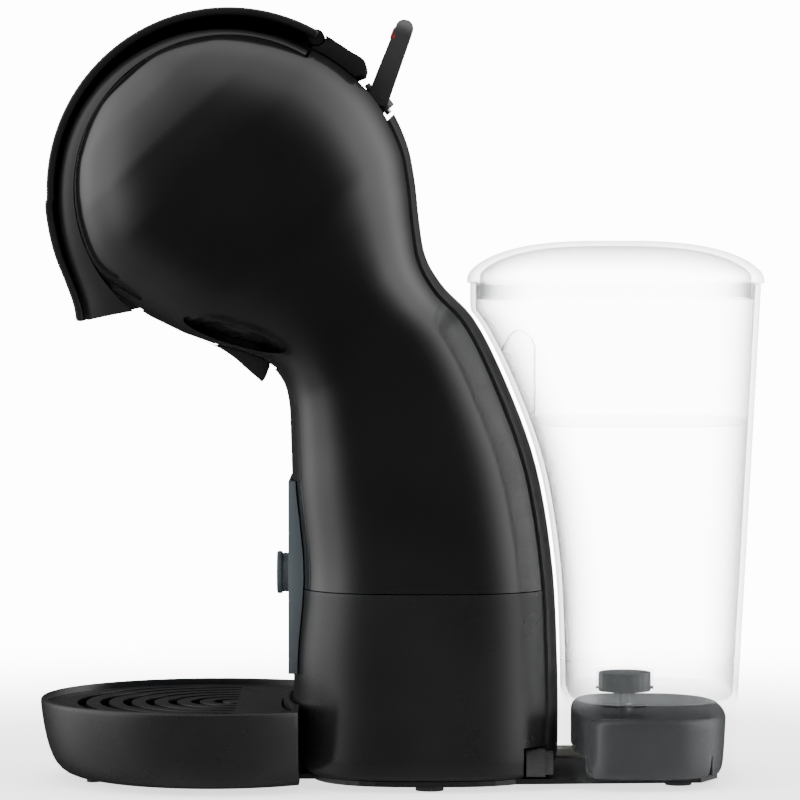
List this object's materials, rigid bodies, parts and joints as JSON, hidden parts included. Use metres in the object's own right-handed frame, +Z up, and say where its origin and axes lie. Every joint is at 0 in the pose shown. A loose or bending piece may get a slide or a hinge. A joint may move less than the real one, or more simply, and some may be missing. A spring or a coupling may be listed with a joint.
{
  "type": "pod coffee machine",
  "caption": "Compact capsule coffee machine: round head with hinged visor, selector lever, leaning column, round drip tray and clear lift-off rear water tank.",
  "frame": {"origin": "on the ground under the middle of the machine's bounding box", "axes": "+Z up, -X towards the drip tray and the user, +X towards the water tank, +Y to the machine's left as seen from its rear"},
  "size_m": [0.2736, 0.1358, 0.2904],
  "materials": {
    "gloss_black": "high-gloss moulded ABS",
    "satin_black": "satin moulded ABS, very fine grain",
    "dark_grey": "satin dark grey moulding",
    "slate_grey": "satin slate grey moulding",
    "clear_plastic": "clear moulded SAN",
    "rubber": "matt rubber",
    "steel": "bright steel wire and pins",
    "cast_alloy": "as-cast alloy",
    "inner_plastic": "plain structural moulding",
    "board_green": "solder-masked board",
    "silicone": "translucent silicone"
  },
  "bodies": {
    "housing": {"cheek_left": "gloss_black", "cheek_right": "gloss_black", "lower_skirt": "satin_black", "spine_cover": "satin_black", "head_dome": "gloss_black", "hinge_pin": "steel", "underside_cover": "satin_black", "splash_guard": "satin_black", "front_panel": "satin_black", "accent_panel": "slate_grey", "rear_top_band": "satin_black", "lever_saddle": "gloss_black", "lever_pin": "steel", "button_spring": "steel", "power_switch": "inner_plastic", "base_plate": "satin_black", "foot_right": "rubber", "foot_left": "rubber", "foot_front_right": "rubber", "foot_front_left": "rubber", "foot_rear_right": "rubber", "foot_rear_left": "rubber", "tank_platform": "dark_grey", "tank_socket": "inner_plastic", "socket_seal": "silicone", "drawer_rail_left": "inner_plastic", "drawer_rail_right": "inner_plastic", "thermoblock": "cast_alloy", "selector_valve": "inner_plastic", "pump": "cast_alloy", "pump_mount_upper": "rubber", "pump_mount_lower": "rubber", "chassis": "inner_plastic", "inlet_hose": "silicone", "pressure_hose": "silicone", "hot_hose": "silicone", "cold_hose": "silicone", "brew_hose": "silicone", "control_board": "board_green", "cord_gland": "rubber", "base_screw_front_left": "steel", "base_screw_front_right": "steel", "base_screw_rear_left": "steel", "base_screw_rear_right": "steel"},
    "visor": {"visor": "satin_black"},
    "injector": {"injector_plate": "cast_alloy", "injector_needle": "steel", "capsule_seal": "silicone"},
    "drawer": {"capsule_drawer": "satin_black"},
    "lever": {"selector_lever": "satin_black"},
    "button": {"power_button": "slate_grey"},
    "tray": {"drip_tray": "satin_black", "tray_pad_left": "rubber", "tray_pad_right": "rubber"},
    "grid": {"drip_grid": "satin_black"},
    "tank": {"tank": "clear_plastic", "tank_filter": "silicone", "valve_spring": "steel"},
    "lid": {"tank_lid": "clear_plastic"},
    "valve": {"valve_plunger": "inner_plastic"}
  },
  "joints": [
    {"name": "visor_hinge", "type": "hinge", "parent": "housing", "child": "visor", "pos_m": [-0.03135, 0, 0.27945], "axis": [0, 1, 0], "range_deg": [0, 50]},
    {"name": "injector_lift", "type": "slide", "parent": "housing", "child": "injector", "axis": [0, 0, 1], "range_m": [0, 0.006]},
    {"name": "drawer_slide", "type": "slide", "parent": "housing", "child": "drawer", "axis": [-1, 0, 0], "range_m": [0, 0.06]},
    {"name": "lever_swing", "type": "hinge", "parent": "housing", "child": "lever", "pos_m": [-0.0087, 0, 0.2574], "axis": [0.6115, 0, -0.7912], "range_deg": [-35, 35]},
    {"name": "button_press", "type": "slide", "parent": "housing", "child": "button", "axis": [1, 0, 0], "range_m": [0, 0.0015], "stiffness_N_per_m": 800},
    {"name": "tray_slide", "type": "slide", "parent": "housing", "child": "tray", "axis": [-1, 0, 0], "range_m": [0, 0.1]},
    {"name": "grid_lift", "type": "slide", "parent": "tray", "child": "grid", "axis": [0, 0, 1], "range_m": [0, 0.035]},
    {"name": "tank_lift", "type": "slide", "parent": "housing", "child": "tank", "axis": [0, 0, 1], "range_m": [0, 0.2]},
    {"name": "lid_lift", "type": "slide", "parent": "tank", "child": "lid", "axis": [0, 0, 1], "range_m": [0, 0.04]},
    {"name": "valve_travel", "type": "slide", "parent": "tank", "child": "valve", "axis": [0, 0, 1], "range_m": [-0.002, 0], "stiffness_N_per_m": 300}
  ],
  "couplings": [
    {"joint": "drawer_slide", "follows": "visor_hinge", "m_per_rad": 0.06875},
    {"joint": "injector_lift", "follows": "visor_hinge", "m_per_rad": 0.006875}
  ]
}
